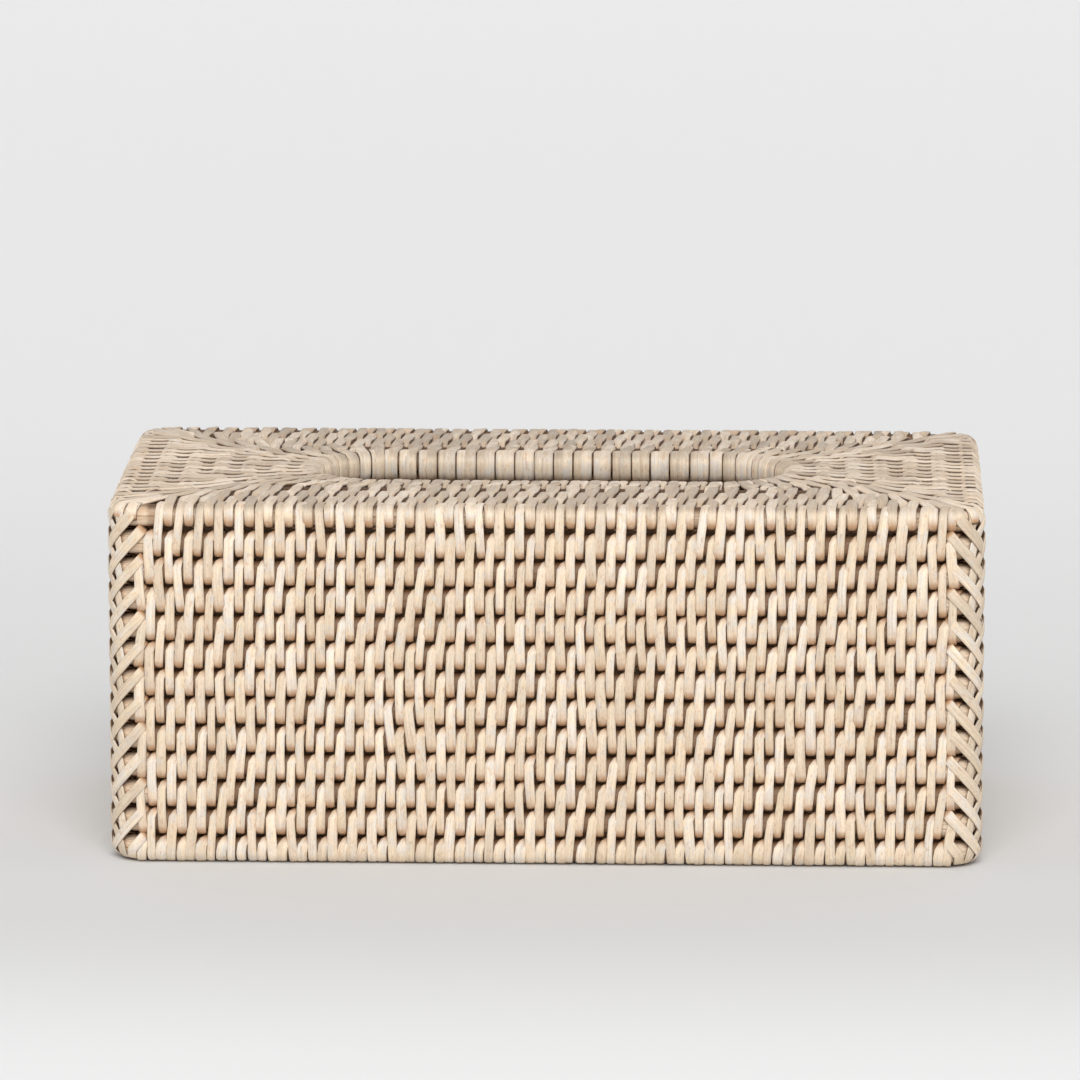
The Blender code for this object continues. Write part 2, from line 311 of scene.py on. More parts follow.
def blend(tree, amount, first, second, mode="MIX"):
    """Two colours mixed by an amount."""
    inputs = {0: amount, 6: first, 7: second}
    return add_node(tree, "ShaderNodeMix", inputs, data_type="RGBA", blend_type=mode).outputs[2]


def shaded(tree, colour, shade):
    """A colour made lighter or darker by a shade that is 1 where nothing changes."""
    return blend(tree, 1.0, colour, grey(tree, shade), "MULTIPLY")


def coated(tree, colour, *coats):
    """A colour with coats over it, each an amount and a colour."""
    for amount, coat in coats:
        colour = blend(tree, amount, colour, coat)
    return colour


def fade(tree, value, low, high, start=0.0, end=1.0):
    """A value carried smoothly from one range to another."""
    inputs = enumerate((value, low, high, start, end))
    return add_node(tree, "ShaderNodeMapRange", inputs, interpolation_type="SMOOTHSTEP").outputs[0]


def grainy(tree, vector, detail=2.0, roughness=0.5):
    """Noise from 0 to 1 at a vector."""
    inputs = {"Vector": vector, "Scale": 1.0, "Detail": detail, "Roughness": roughness}
    return add_node(tree, "ShaderNodeTexNoise", inputs).outputs["Fac"]


def attribute(tree, name):
    """A named attribute's outputs."""
    return add_node(tree, "ShaderNodeAttribute", attribute_name=name).outputs


def new_material(name, roughness):
    """A material with its tree and its shader's inputs, ready for its colour and bump."""
    material = bpy.data.materials.new(name)
    material.use_nodes = True
    shader = material.node_tree.nodes["Principled BSDF"].inputs
    put(shader["Roughness"], roughness)
    put(shader["Specular IOR Level"], 0.35)
    return material, material.node_tree, shader


def finish_material(tree, shader, colour, relief, distance, strength):
    """Give a shader its colour and fine relief."""
    put(shader["Base Color"], colour)
    put(shader["Normal"], add_node(tree, "ShaderNodeBump", {
        "Height": relief, "Distance": distance, "Strength": strength}))


def object_axes(tree):
    """The three object coordinates."""
    return parts_of(tree, add_node(tree, "ShaderNodeTexCoord").outputs["Object"])


def height_share(tree):
    """0 below the top of the edge cane and 1 on the top panel."""
    height = object_axes(tree)[2]
    return fade(tree, height, TOP_HEIGHT + 0.35 * CANE_RADIUS, TOP_HEIGHT + 1.05 * CANE_RADIUS)


def hidden_share(tree, axes):
    """1 where strips cover the canes closely and 0 at the bare corners."""
    ends = CAD_BOX[1].x - BARE_CORNER, END_WALL_RUN
    shares = [fade(tree, maths(tree, "ABSOLUTE", axis), end - CORNER_FADE, end, 1.0, 0.0)
              for axis, end in zip(axes, ends)]
    return maths(tree, "MAXIMUM", *shares)


# How far apart in the noise of the peel the palest and the darkest strip lie
STRIPS_APART = 97.0


def peel_material(name, peel, wash_share):
    """Whitewashed peel: fibres along the strip, worn paint, a top that is darker partly as painted shade,
    and painted shade in peach and brown where it turns into a gap and along its edges.
    """
    colours = bpy.context.scene.rattan_finishes
    material, tree, shader = new_material(name, 0.62)
    on_top = height_share(tree)
    # On the top the peel takes the top's colour, which holds painted shade as well as a duller finish; it
    # is lighter towards the ends and darker towards the back
    at_ends = fade(tree, maths(tree, "ABSOLUTE", object_axes(tree)[0]), RIM_X, CAD_BOX[1].x, 1.0, 1.2)
    at_back = fade(tree, object_axes(tree)[1], RIM_Y - CANE_RADIUS, RIM_Y + 2 * CANE_RADIUS, 1.0, 0.84)
    top_colour_and_shade = shaded(tree, colours.top_peel, maths(tree, "MULTIPLY", at_ends, at_back))
    across, along, dive = parts_of(tree, attribute(tree, "fibre")["Vector"])
    tone = attribute(tree, "tone")["Fac"]

    def fibres(across_scale, along_scale, shift, *detail):
        """Noise that is stretched along the strip and differs from strip to strip."""
        place = vector_of(tree, maths(tree, "MULTIPLY", across, across_scale),
                          maths(tree, "MULTIPLY", along, along_scale),
                          maths(tree, "MULTIPLY_ADD", tone, STRIPS_APART, shift))
        return grainy(tree, place, *detail)

    threads = fibres(3.2, 60.0, 0.0, 3.0, 0.6)
    streaks = fibres(1.1, 90.0, 13.0)
    patches = fibres(0.7, 210.0, 31.0, 3.0, 0.6)
    wear = fibres(1.6, 330.0, 57.0, 4.0, 0.65)
    flecks = fibres(5.0, 900.0, 71.0, 2.0, 0.6)
    straw = fibres(0.3, 40.0, 77.0)

    washed = fade(tree, maths(tree, "ADD", patches, maths(tree, "MULTIPLY_ADD", tone, 0.22, wash_share)),
                  0.44, 0.72)
    paint = maths(tree, "MULTIPLY", washed, maths(tree, "MULTIPLY_ADD", on_top, -0.35, 0.70))
    bare = maths(tree, "MULTIPLY_ADD", on_top, -0.65, 1.0)
    yellowed = maths(tree, "MULTIPLY", fade(tree, straw, 0.46, 0.62, 0.0, 0.6), bare)
    colour = coated(
        tree, peel, (on_top, top_colour_and_shade), (yellowed, colours.straw_peel), (paint, colours.wash),
        (fade(tree, wear, 0.54, 0.72, 0.0, 0.50), colours.raw_peel_and_end_shade),
        (fade(tree, streaks, 0.34, 0.70, 0.0, 0.16), colours.raw_peel_and_end_shade))
    shade = maths(tree, "MULTIPLY_ADD", fade(tree, threads, 0.30, 0.70), 0.20, 0.88)
    shade = maths(tree, "MULTIPLY", shade, fade(tree, flecks, 0.35, 0.65, 0.95, 1.05))
    spread = maths(tree, "MULTIPLY_ADD", on_top, 0.14, 0.22)
    shade = maths(tree, "MULTIPLY", shade, maths(tree, "MULTIPLY_ADD", tone, spread, 0.87))
    # Peach towards the ends where a strip turns into a gap, in patches and less on the top: partly
    # whitewash missing at the bend, partly painted shade
    end_patchiness = maths(tree, "MULTIPLY", fade(tree, patches, 0.30, 0.60, 0.55, 1.0), bare)
    ends = maths(tree, "MULTIPLY", fade(tree, dive, 0.01, 0.36, 0.0, 0.88), end_patchiness)
    # Painted shade: the edges of each strip turn brown for the shade in the narrow gaps between strips
    edge_shade = fade(tree, maths(tree, "ABSOLUTE", across), 0.92, 0.985, 0.0, 0.82)
    # Painted shade: brown where a strip dives deep into its gap
    colour = coated(
        tree, shaded(tree, colour, shade), (ends, colours.raw_peel_and_end_shade),
        (fade(tree, dive, 0.40, 0.90), colours.gap_shade_brown), (edge_shade, colours.gap_shade_brown))
    put(shader["Roughness"], fade(tree, washed, 0.0, 1.0, 0.52, 0.74))
    finish_material(tree, shader, colour, threads, 0.00022, 0.7)
    return material


def cane_material(name, under_strip_shade):
    """Bare cane: fine lengthwise lines, paler patches of whitewash, and painted shade on its sides towards
    the next canes and where strips hide it.
    """
    colours = bpy.context.scene.rattan_finishes
    material, tree, shader = new_material(name, 0.5)
    grain = attribute(tree, "grain")["Vector"]

    def along(round_scale, length_scale, *detail):
        """Noise that is stretched along the cane."""
        scales = (round_scale, round_scale, length_scale)
        return grainy(tree, vector_maths(tree, "MULTIPLY", grain, scales), *detail)

    lines = along(5.5, 14.0, 4.0, 0.65)
    # Painted shade: the cane's upper and lower sides, which face the next canes, darkened for the shade in
    # the gaps
    gap_side_shade = fade(tree, maths(tree, "ABSOLUTE", parts_of(tree, grain)[1]), 0.62, 0.98, 0.0, 0.75)
    # Painted shade: cane that strips cover is darkened where it shows between them, and on the top it is
    # painted dark brown
    hidden = hidden_share(tree, object_axes(tree))
    top_cane_shade = maths(tree, "MULTIPLY", maths(tree, "MULTIPLY", height_share(tree), hidden), 0.85)
    colour = coated(
        tree, colours.cane,
        (fade(tree, along(1.2, 70.0), 0.35, 0.75, 0.0, 0.45), colours.raw_peel_and_end_shade),
        (fade(tree, along(1.6, 120.0, 3.0), 0.42, 0.66, 0.0, 0.75), colours.wall_peel),
        (fade(tree, lines, 0.54, 0.68, 0.0, 0.70), colours.cane_lines_and_shade), (gap_side_shade, colours.cane_lines_and_shade),
        (maths(tree, "MULTIPLY", hidden, under_strip_shade), colours.cane_lines_and_shade), (top_cane_shade, colours.gap_shade_brown))
    finish_material(tree, shader, colour, lines, 0.0003, 0.6)
    return material


# How finely the unevenness of strips and canes varies, how far its noise moves from strip to strip, and
# how far a strip slides up or down for each metre that it may slide along its course
STRIP_NOISE = 140.0
CANE_NOISE = 55.0
NOISE_SHIFT = 40.0
SLIDE_ACROSS = 0.8


def new_tree(name, sockets):
    """A Geometry Nodes tree with geometry in and out and the named inputs."""
    tree = bpy.data.node_groups.new(name, "GeometryNodeTree")
    for label, kind in (("Geometry", "Geometry"), *sockets):
        tree.interface.new_socket(label, in_out="INPUT", socket_type="NodeSocket" + kind)
    tree.interface.new_socket("Geometry", in_out="OUTPUT", socket_type="NodeSocketGeometry")
    return tree, add_node(tree, "NodeGroupInput").outputs


def finish_tree(tree, geometry, offset, material):
    """Shift the points by an offset, give the geometry its material and hand it out."""
    moved = add_node(tree, "GeometryNodeSetPosition", {0: geometry, "Offset": offset})
    painted = add_node(tree, "GeometryNodeSetMaterial", {0: moved, "Material": material})
    add_node(tree, "NodeGroupOutput", {0: painted})


def named_field(tree, name, kind):
    """A named attribute read as a field."""
    return add_node(tree, "GeometryNodeInputNamedAttribute", {"Name": name},
                    data_type=kind).outputs["Attribute"]


def either_way(tree, most, seed):
    """Random vectors up to a vector one way or the other, fixed by a seed."""
    least = vector_maths(tree, "MULTIPLY", most, (-1.0, -1.0, -1.0))
    return add_node(tree, "FunctionNodeRandomValue", {0: least, 1: most, "Seed": seed},
                    data_type="FLOAT_VECTOR").outputs[0]


def captured(tree, curve, label, part):
    """A curve that carries along how far along it each point lies, and that distance."""
    node = add_node(tree, "GeometryNodeCaptureAttribute", {0: curve})
    node.capture_items.new("FLOAT", label)
    put(node.inputs[1], add_node(tree, "GeometryNodeSplineParameter").outputs[part])
    return node.outputs[0], node.outputs[1]


def uneven_offset(tree, amount, scale, shift):
    """Offsets that wander in space by up to an amount; shift moves the noise from strip to strip."""
    wander = add_node(tree, "ShaderNodeTexNoise", {"Scale": scale, "Detail": 1.0, "W": shift},
                      noise_dimensions="4D").outputs["Color"]
    centred = vector_maths(tree, "SUBTRACT", wander, (0.5, 0.5, 0.5))
    reach = maths(tree, "MULTIPLY", amount, 2.0)
    return add_node(tree, "ShaderNodeVectorMath", {0: centred, "Scale": reach},
                    operation="SCALE").outputs[0]


def strips_tree():
    """Tree that lays strips from a collection on placed points, each a little off its place."""
    tree, given = new_tree("Peel strips on places", (
        ("Strips", "Collection"), ("Slide", "Float"), ("Lean", "Float"), ("Unevenness", "Float"),
        ("Seed", "Int"), ("Material", "Material")))
    seed = given["Seed"]
    strips = add_node(tree, "GeometryNodeCollectionInfo", {
        "Collection": given["Strips"], "Separate Children": True, "Reset Children": True})
    laid = add_node(tree, "GeometryNodeInstanceOnPoints", {
        "Points": given["Geometry"], "Instance": strips, "Pick Instance": True,
        "Instance Index": named_field(tree, "pattern", "INT"),
        "Rotation": named_field(tree, "facing", "QUATERNION"),
        "Scale": named_field(tree, "stretch", "FLOAT_VECTOR")})
    lean = vector_of(tree, 0.0, 0.0, given["Lean"])
    turned = add_node(tree, "GeometryNodeRotateInstances", {
        0: laid, "Rotation": either_way(tree, lean, seed), "Local Space": True})
    slide = vector_of(tree, given["Slide"], maths(tree, "MULTIPLY", given["Slide"], SLIDE_ACROSS), 0.0)
    moved = add_node(tree, "GeometryNodeTranslateInstances", {
        0: turned, "Translation": either_way(tree, slide, seed), "Local Space": True})
    tone = add_node(tree, "FunctionNodeRandomValue", {2: 0.0, 3: 1.0, "Seed": seed}).outputs[1]
    toned = add_node(tree, "GeometryNodeStoreNamedAttribute", {0: moved, "Name": "tone", "Value": tone},
                     domain="INSTANCE")
    real = add_node(tree, "GeometryNodeRealizeInstances", {0: toned})
    shift = maths(tree, "MULTIPLY", named_field(tree, "tone", "FLOAT"), NOISE_SHIFT)
    offset = uneven_offset(tree, given["Unevenness"], STRIP_NOISE, shift)
    finish_tree(tree, real, offset, given["Material"])


def cane_tree():
    """Tree that draws a round, slightly uneven cane along a path, with its lengthwise grain stored."""
    tree, given = new_tree("Cane along a path", (
        ("Radius", "Float"), ("Swell up", "Float"), ("Swell down", "Float"), ("Sides", "Int"),
        ("Unevenness", "Float"), ("Seed", "Int"), ("Material", "Material")))
    path = add_node(tree, "GeometryNodeMeshToCurve", {0: given["Geometry"]})
    path, run = captured(tree, path, "Run", "Length")
    ring = add_node(tree, "GeometryNodeCurvePrimitiveCircle", {
        "Radius": given["Radius"], "Resolution": given["Sides"]})
    ring, turn = captured(tree, ring, "Turn", "Factor")
    swept = add_node(tree, "GeometryNodeCurveToMesh", {0: path, "Profile Curve": ring, "Fill Caps": True})
    turn = maths(tree, "MULTIPLY", turn, math.tau)
    grain = vector_of(tree, maths(tree, "COSINE", turn), maths(tree, "SINE", turn), run)
    grained = add_node(tree, "GeometryNodeStoreNamedAttribute", {
        0: swept, "Name": "grain", "Value": grain}, data_type="FLOAT_VECTOR")
    axes = parts_of(tree, add_node(tree, "GeometryNodeInputPosition"))
    bare = maths(tree, "SUBTRACT", 1.0, hidden_share(tree, axes))
    up = maths(tree, "MULTIPLY", maths(tree, "SINE", turn), -1.0)
    above = maths(tree, "MULTIPLY", maths(tree, "MAXIMUM", up, 0.0), given["Swell up"])
    below = maths(tree, "MULTIPLY", maths(tree, "MINIMUM", up, 0.0), given["Swell down"])
    swell = maths(tree, "MULTIPLY", maths(tree, "ADD", above, below), bare)
    offset = uneven_offset(tree, given["Unevenness"], CANE_NOISE, given["Seed"])
    offset = vector_maths(tree, "ADD", offset, vector_of(tree, 0.0, 0.0, swell))
    finish_tree(tree, grained, offset, given["Material"])


def run_tree(tree_name, name, mesh, values):
    """Run a tree on a mesh and keep the result as a plain mesh object at the origin."""
    tree = bpy.data.node_groups[tree_name]
    carrier = bpy.data.objects.new(name + "_places", mesh)
    bpy.context.scene.collection.objects.link(carrier)
    modifier = carrier.modifiers.new("Weave", "NODES")
    modifier.node_group = tree
    for item in tree.interface.items_tree:
        if item.in_out == "INPUT" and item.name in values:
            modifier[item.identifier] = values[item.name]
    depsgraph = bpy.context.evaluated_depsgraph_get()
    made = bpy.data.meshes.new_from_object(
        carrier.evaluated_get(depsgraph), preserve_all_data_layers=True, depsgraph=depsgraph)
    carrier.modifiers.remove(modifier)
    bpy.data.objects.remove(carrier)
    made.name = name
    if not made.polygons:
        raise RuntimeError(f"{name} came out empty")
    piece = bpy.data.objects.new(name, made)
    bpy.context.scene.collection.objects.link(piece)
    return piece


def hand_in(piece, slot, *nodes):
    """Fix a piece to the cover, in the place of the nodes it stands for."""
    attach(piece, "root")
    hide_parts(*nodes)


# Turns round a cane of the places where a strip is drawn, in degrees from straight out: with them
# the sideways share of the strip's lean, how deep it lies in its gap, which sets its painted shade, and its
# share of the full width
UPPER_TURNS = ((132, 1.50, 1.0, 0.66), (102, 1.25, 0.62, 0.68), (76, 0.92, 0.36, 0.76),
               (50, 0.53, 0.20, 0.88), (22, 0.15, 0.02, 0.98))
LOWER_TURNS = ((-16, 0.0, 0.13, 1.0), (-42, 0.0, 0.32, 1.02), (-68, 0.0, 0.42, 1.06),
               (-92, 0.0, 0.58, 1.06), (-138, -0.3, 1.0, 1.0))
EDGE_TURNS = ((158, 1.1, 1.0, 0.9), (128, 0.75, 0.5, 0.95), (98, 0.40, 0.06, 1.0),
              (64, 0.15, 0.0, 1.0), (30, 0.03, 0.0, 1.0))
UNDER_TURNS = ((-14, 0.0, 0.0, 1.0), (-40, 0.0, 0.0, 1.0), (-68, 0.0, 0.0, 1.0),
               (-98, 0.0, 0.15, 1.0), (-138, -0.1, 0.3, 1.0))

# A strip's shares of the full width on the canes' inner side, how deep it lies there, and the turn past
# which a dropped end hangs
INNER_BREADTHS = (1.15, 1.75, 1.15)
INNER_DEPTH = 0.3
HANGING_TURN = -95

# Section of a strip: across in half widths, out in thicknesses
STRIP_SECTION = ((-1, -0.5), (-0.95, 0.08), (-0.5, 0.42), (0.5, 0.42), (0.95, 0.08), (1, -0.5))
SHARP_EDGE = math.radians(62)


def wrap_radius():
    """Distance of a strip's middle from the axis of the cane that it goes round."""
    sizes = bpy.context.scene.rattan_weave
    return CANE_RADIUS + sizes.clearance + sizes.strip_thickness / 2


def wrap_stops(reach, upper, lower, slant=0.0, drop=0.0, sag=0.0):
    """Centre line of one wrap: place, outward direction, depth in the gap and share of the width.

    Slant is how far its upper end lies along the course from its lower one, drop how far its lower
    end hangs under the lower cane, and sag how far that end stands off the cane.
    """
    sizes = bpy.context.scene.rattan_weave
    radius = wrap_radius()
    lean, pitch = sizes.top_lean, sizes.strip_pitch
    stops = []

    def stop(end, degrees, across, depth, breadth, inset=0.0):
        """A stop round the upper cane (end 1), the lower one (end -1) or between them (end 0)."""
        turn = math.radians(degrees)
        out = Vector((0, math.sin(turn), math.cos(turn)))
        square = sizes.square_turn * math.sin(2 * turn) ** 2 if abs(degrees) < 90 else 0
        square -= min(end, 0) * sag * math.sin(min(abs(turn), math.pi / 2))
        place = Vector((across + end * slant / 2, end * reach / 2, 0)) + (radius - inset + square) * out
        if end < 0 and degrees < HANGING_TURN:
            place.z -= drop
        stops.append((place, out, depth, breadth))

    for degrees, share, depth, breadth in upper:
        stop(1, degrees, share * lean, depth, breadth)
    if reach:
        stop(0, 0, 0, 0, 1, sizes.groove_dip)
    for degrees, share, depth, breadth in lower:
        stop(-1, degrees, share * lean, depth, breadth)
    first = stops[0]
    for end, breadth in zip((-1, 0, 1) if reach else (-1, 1), INNER_BREADTHS):
        stop(end, -180, -pitch / 2, INNER_DEPTH, breadth, -min(end, 0) * sag)
    stops.append((first[0] - Vector((pitch, 0, 0)), *first[1:]))
    return stops


def store(mesh, name, kind, values):
    """Store a value of one or more parts at each point of a mesh."""
    field = "vector" if kind == "FLOAT_VECTOR" else "value"
    stored = mesh.attributes.new(name, kind, "POINT")
    stored.data.foreach_set(field, [part for value in values for part in value])


def strip_mesh(name, stops, width, thickness, bulge=0.0):
    """A strip of peel along its stops, closed at both ends, with its fibre direction stored."""
    points, fibres, faces = [], [], []
    along = 0.0
    count = len(STRIP_SECTION)
    for index, (place, out, depth, breadth) in enumerate(stops):
        before, after = stops[max(index - 1, 0)][0], stops[min(index + 1, len(stops) - 1)][0]
        ahead = (after - before).normalized()
        side = ahead.cross(out).normalized()
        face = side.cross(ahead)
        if index:
            along += (place - before).length
        swell = breadth + bulge * math.sin(math.pi * index / (len(stops) - 1))
        for across, rise in STRIP_SECTION:
            points.append(place + across * swell * width / 2 * side + rise * thickness * face)
            fibres.append((across, along, depth))
    for base in range(0, len(points) - count, count):
        for corner in range(count):
            after = (corner + 1) % count
            faces.append((base + corner, base + after, base + count + after, base + count + corner))
    faces.append(tuple(range(count))[::-1])
    faces.append(tuple(range(len(points) - count, len(points))))
    mesh = bpy.data.meshes.new(name)
    mesh.from_pydata(points, [], faces)
    store(mesh, "fibre", "FLOAT_VECTOR", fibres)
    shape = bmesh.new()
    shape.from_mesh(mesh)
    bmesh.ops.recalc_face_normals(shape, faces=shape.faces)
    shape.to_mesh(mesh)
    shape.free()
    mesh.shade_smooth()
    mesh.set_sharp_from_angle(angle=SHARP_EDGE)
    return mesh


def place_mesh(name, places):
    """Points that carry how each strip faces, is stretched and which pattern it is."""
    spots, axes, stretches, patterns = zip(*places)
    mesh = bpy.data.meshes.new(name)
    mesh.from_pydata(spots, [], [])
    store(mesh, "facing", "QUATERNION", [Matrix(turned).transposed().to_quaternion() for turned in axes])
    store(mesh, "stretch", "FLOAT_VECTOR", stretches)
    store(mesh, "pattern", "INT", zip(patterns))
    return mesh


def lay_strips(name, places, patterns, material, seed, loose=1):
    """One piece of many strips, laid by the strips tree; loose scales how far they may lie off."""
    sizes = bpy.context.scene.rattan_weave
    collection = bpy.data.collections.new(name + "_strips")
    bpy.context.scene.collection.children.link(collection)
    items = [bpy.data.objects.new(f"{name}_strips_{number:02d}", mesh)
             for number, mesh in enumerate(patterns)]
    for item in items:
        collection.objects.link(item)
    piece = run_tree("Peel strips on places", name, place_mesh(name, places), {
        "Strips": collection, "Slide": sizes.slide * loose, "Lean": sizes.lean * loose,
        "Unevenness": sizes.strip_unevenness, "Seed": seed, "Material": material})
    for item in items:
        bpy.data.objects.remove(item)
    bpy.data.collections.remove(collection)
    return piece


def lay_cane(node, name, points, closed, material, seed, swell_up=0.0, swell_down=0.0):
    """One cane along its points, thicker upwards and downwards at the bare corners where asked."""
    path = bpy.data.meshes.new(name)
    edges = [(index, index + 1) for index in range(len(points) - 1)]
    if closed:
        edges.append((len(points) - 1, 0))
    path.from_pydata(points, edges, [])
    piece = run_tree("Cane along a path", name, path, {
        "Radius": CANE_RADIUS, "Swell up": swell_up, "Swell down": swell_down, "Sides": CANE_SIDES,
        "Unevenness": bpy.context.scene.rattan_weave.cane_unevenness, "Seed": seed, "Material": material})
    hand_in(piece, "cane", node)


def ring_points(step, height):
    """Points of a ring cane at a height, starting at the middle of the back."""
    shape = ring_shape(step)
    quarter = ring_length(shape) / 4
    runs = ring_runs(shape)
    start = min(range(len(runs)), key=lambda index: abs(runs[index] - quarter))
    return [ring_walk(shape, run)[0] + Vector((0, 0, height)) for run in runs[start:] + runs[:start]]


def infill_points(step, sign):
    """Points of an infill cane at one end, from the front to the back."""
    shape = infill_shape(step)
    points = []
    place = ring_walk(shape, 0)[0]
    while place.y <= INFILL_REACH:
        points.append(place)
        place = ring_walk(shape, INFILL_STEP * len(points))[0]
    points = [Vector((p.x, -p.y, 0)) for p in points[:0:-1]] + points
    return [Vector((sign * p.x, p.y, TOP_HEIGHT)) for p in points]


class RATTAN_OT_canes(bpy.types.Operator):
    """Make the wall canes, the ring canes of the top, the rim cane and the infill canes"""
    bl_idname = "rattan.canes"
    bl_label = "Canes"

    def execute(self, context):
        # The edge cane gets less painted shade where strips cover it than the other canes
        bare = cane_material("Bare cane", 0.85)
        edge = cane_material("Edge cane", 0.4)
        swell = context.scene.rattan_weave.corner_swell
        for row, (node, height) in enumerate(zip(WALL_NODES, ROW_HEIGHTS)):
            lay_cane(node, f"wall_cane_{row + 1:02d}", ring_points(0, height), True,
                     bare if row else edge, row, swell * (row > 0), swell * (row < ROWS - 1))
        for step in range(1, TOP_RINGS + 1):
            lay_cane(f"top_cane_{step}", f"ring_cane_{step}", ring_points(step, TOP_HEIGHT), True,
                     bare, 20 + step)
        lay_cane("slot_rim_cane", "rim_cane", ring_points(BAND_STEPS, TOP_HEIGHT), True, bare, 30)
        for side, sign in (("left", -1), ("right", 1)):
            for step in range(1, INFILL_STEPS):
                lay_cane(f"end_cane_{side}_{step}", f"infill_cane_{side}_{step}", infill_points(step, sign),
                         False, bare, 40 + step)
        return {"FINISHED"}


# Wandering and leaning of the walls' strips: how fast they vary along a course and with height, how far
# apart in the noise the walls lie, and how far the leaning lies from the wandering
WANDER_SCALES = Vector((22, 30, 5.3))
LEAN_SCALES = Vector((35, 60, 3.1))
LEAN_SHIFT = Vector((0, 0, 9))

# How much single strips of the walls vary in width and in how far they stand out, and how wide the
# short wraps are
WALL_WIDTHS = (0.88, 1.12)
WALL_STANDS = (0.96, 1.05)
SHORT_WIDTHS = (1.0, 1.14)

# How much wider or narrower the patterns of the long and the short wraps are halfway
LONG_BULGES = (0.0, 0.05, -0.05)
SHORT_BULGES = (0.0, 0.06)


def grid_runs(half_run, odd):
    """Places of a course's strips along one wall; odd courses lie half a pitch along."""
    count = round(2 * half_run / bpy.context.scene.rattan_weave.strip_pitch)
    step = 2 * half_run / count
    return [-half_run + (index + (0.75 if odd else 0.25)) * step for index in range(count)]


def wander(run, height, wall):
    """Slow drift of the strips, shared by neighbours."""
    drift = bpy.context.scene.rattan_weave.drift
    return drift * noise.noise(Vector((run, height, wall)) * WANDER_SCALES)


def leaning(axes, run, height, wall):
    """A strip's axes turned by a slow lean that neighbours share."""
    most = bpy.context.scene.rattan_weave.shared_lean
    spot = Vector((run, height, wall)) * LEAN_SCALES + LEAN_SHIFT
    turn = Matrix.Rotation(most * noise.noise(spot), 3, axes[2])
    return tuple(turn @ axis for axis in axes)


# Name, outward direction, half run and place of each wall
WALLS = (
    ("front", Vector((0, -1, 0)), LONG_WALL_RUN, EDGE_Y),
    ("back", Vector((0, 1, 0)), LONG_WALL_RUN, EDGE_Y),
    ("left", Vector((-1, 0, 0)), END_WALL_RUN, EDGE_X),
    ("right", Vector((1, 0, 0)), END_WALL_RUN, EDGE_X),
)


def wall_places(wall, outward, half_run, offset, chance):
    """Places of one wall's wraps: a course for each pair of rows and short wraps on the lowest row."""
    places = []
    along = UP.cross(outward)
    axes = (along, UP, outward)
    for course in range(ROWS - 1):
        height = (ROW_HEIGHTS[course] + ROW_HEIGHTS[course + 1]) / 2
        for run in grid_runs(half_run, course % 2):
            if course == 0 and -run > FIRST_ROW_RUN and half_run > END_WALL_RUN:
                continue
            run += wander(run, height, wall)
            stretch = (chance.uniform(*WALL_WIDTHS), 1, chance.uniform(*WALL_STANDS))
            pattern = chance.randrange(3) + (3 if course == 0 else 6 if course == ROWS - 2 else 0)
            place = run * along + offset * outward + height * UP
            places.append((place, leaning(axes, run, height, wall), stretch, pattern))
    for run in grid_runs(half_run, (ROWS - 1) % 2):
        run += wander(run, ROW_HEIGHTS[-1], wall)
        stretch = (chance.uniform(*SHORT_WIDTHS), 1, 1)
        place = run * along + offset * outward + ROW_HEIGHTS[-1] * UP
        places.append((place, axes, stretch, 9 + chance.randrange(2)))
    return places


def wall_patterns():
    """Strips of the walls: the plain, top and bottom wraps in three bulges each, then the short wraps."""
    sizes = bpy.context.scene.rattan_weave
    made = []
    for upper, lower, sag in ((UPPER_TURNS, LOWER_TURNS, sizes.sag), (EDGE_TURNS, LOWER_TURNS, sizes.sag),
                              (UPPER_TURNS, UNDER_TURNS, 0)):
        stops = wrap_stops(ROW_PITCH, upper, lower, sag=sag)
        made += [(stops, bulge) for bulge in LONG_BULGES]
    made += [(wrap_stops(0, UPPER_TURNS, UNDER_TURNS), bulge) for bulge in SHORT_BULGES]
    return [strip_mesh("wall", stops, sizes.strip_width, sizes.strip_thickness, bulge)
            for stops, bulge in made]


class RATTAN_OT_wall_weave(bpy.types.Operator):
    """Weave the peel strips of the four walls"""
    bl_idname = "rattan.wall_weave"
    bl_label = "Wall weave"

    def execute(self, context):
        seed = context.scene.rattan_weave.seed
        peel = peel_material("Peel", context.scene.rattan_finishes.wall_peel, -0.08)
        for number, (name, *wall) in enumerate(WALLS):
            places = wall_places(number, *wall, random.Random(seed + number))
            piece = lay_strips(f"{name}_weave", places, wall_patterns(), peel, seed + number)
            hand_in(piece, "wall_peel", f"{name}_binding")
        return {"FINISHED"}


# Turns for the strips of the top that go down the front of the edge cane or round the slot rim
FRONT_TURNS = ((168, -0.3, 1.0, 0.74), (138, -0.3, 0.60, 0.76), (104, -0.3, 0.22, 0.78),
               (66, -0.28, 0.0, 0.82), (30, -0.2, 0.0, 0.90))
BEND_TURNS = ((112, 0.0, 0.9, 0.92), (84, 0.0, 0.2, 0.96), (56, 0.0, 0.0, 1.0), (26, 0.0, 0.0, 1.02))
RIM_TURNS = ((-20, 0.0, 0.0, 1.0), (-52, 0.0, 0.0, 1.0), (-86, 0.0, 0.0, 1.0),
             (-98, 0.0, 0.02, 1.0), (-128, 0.0, 0.10, 1.0), (-158, 0.0, 0.3, 1.0))

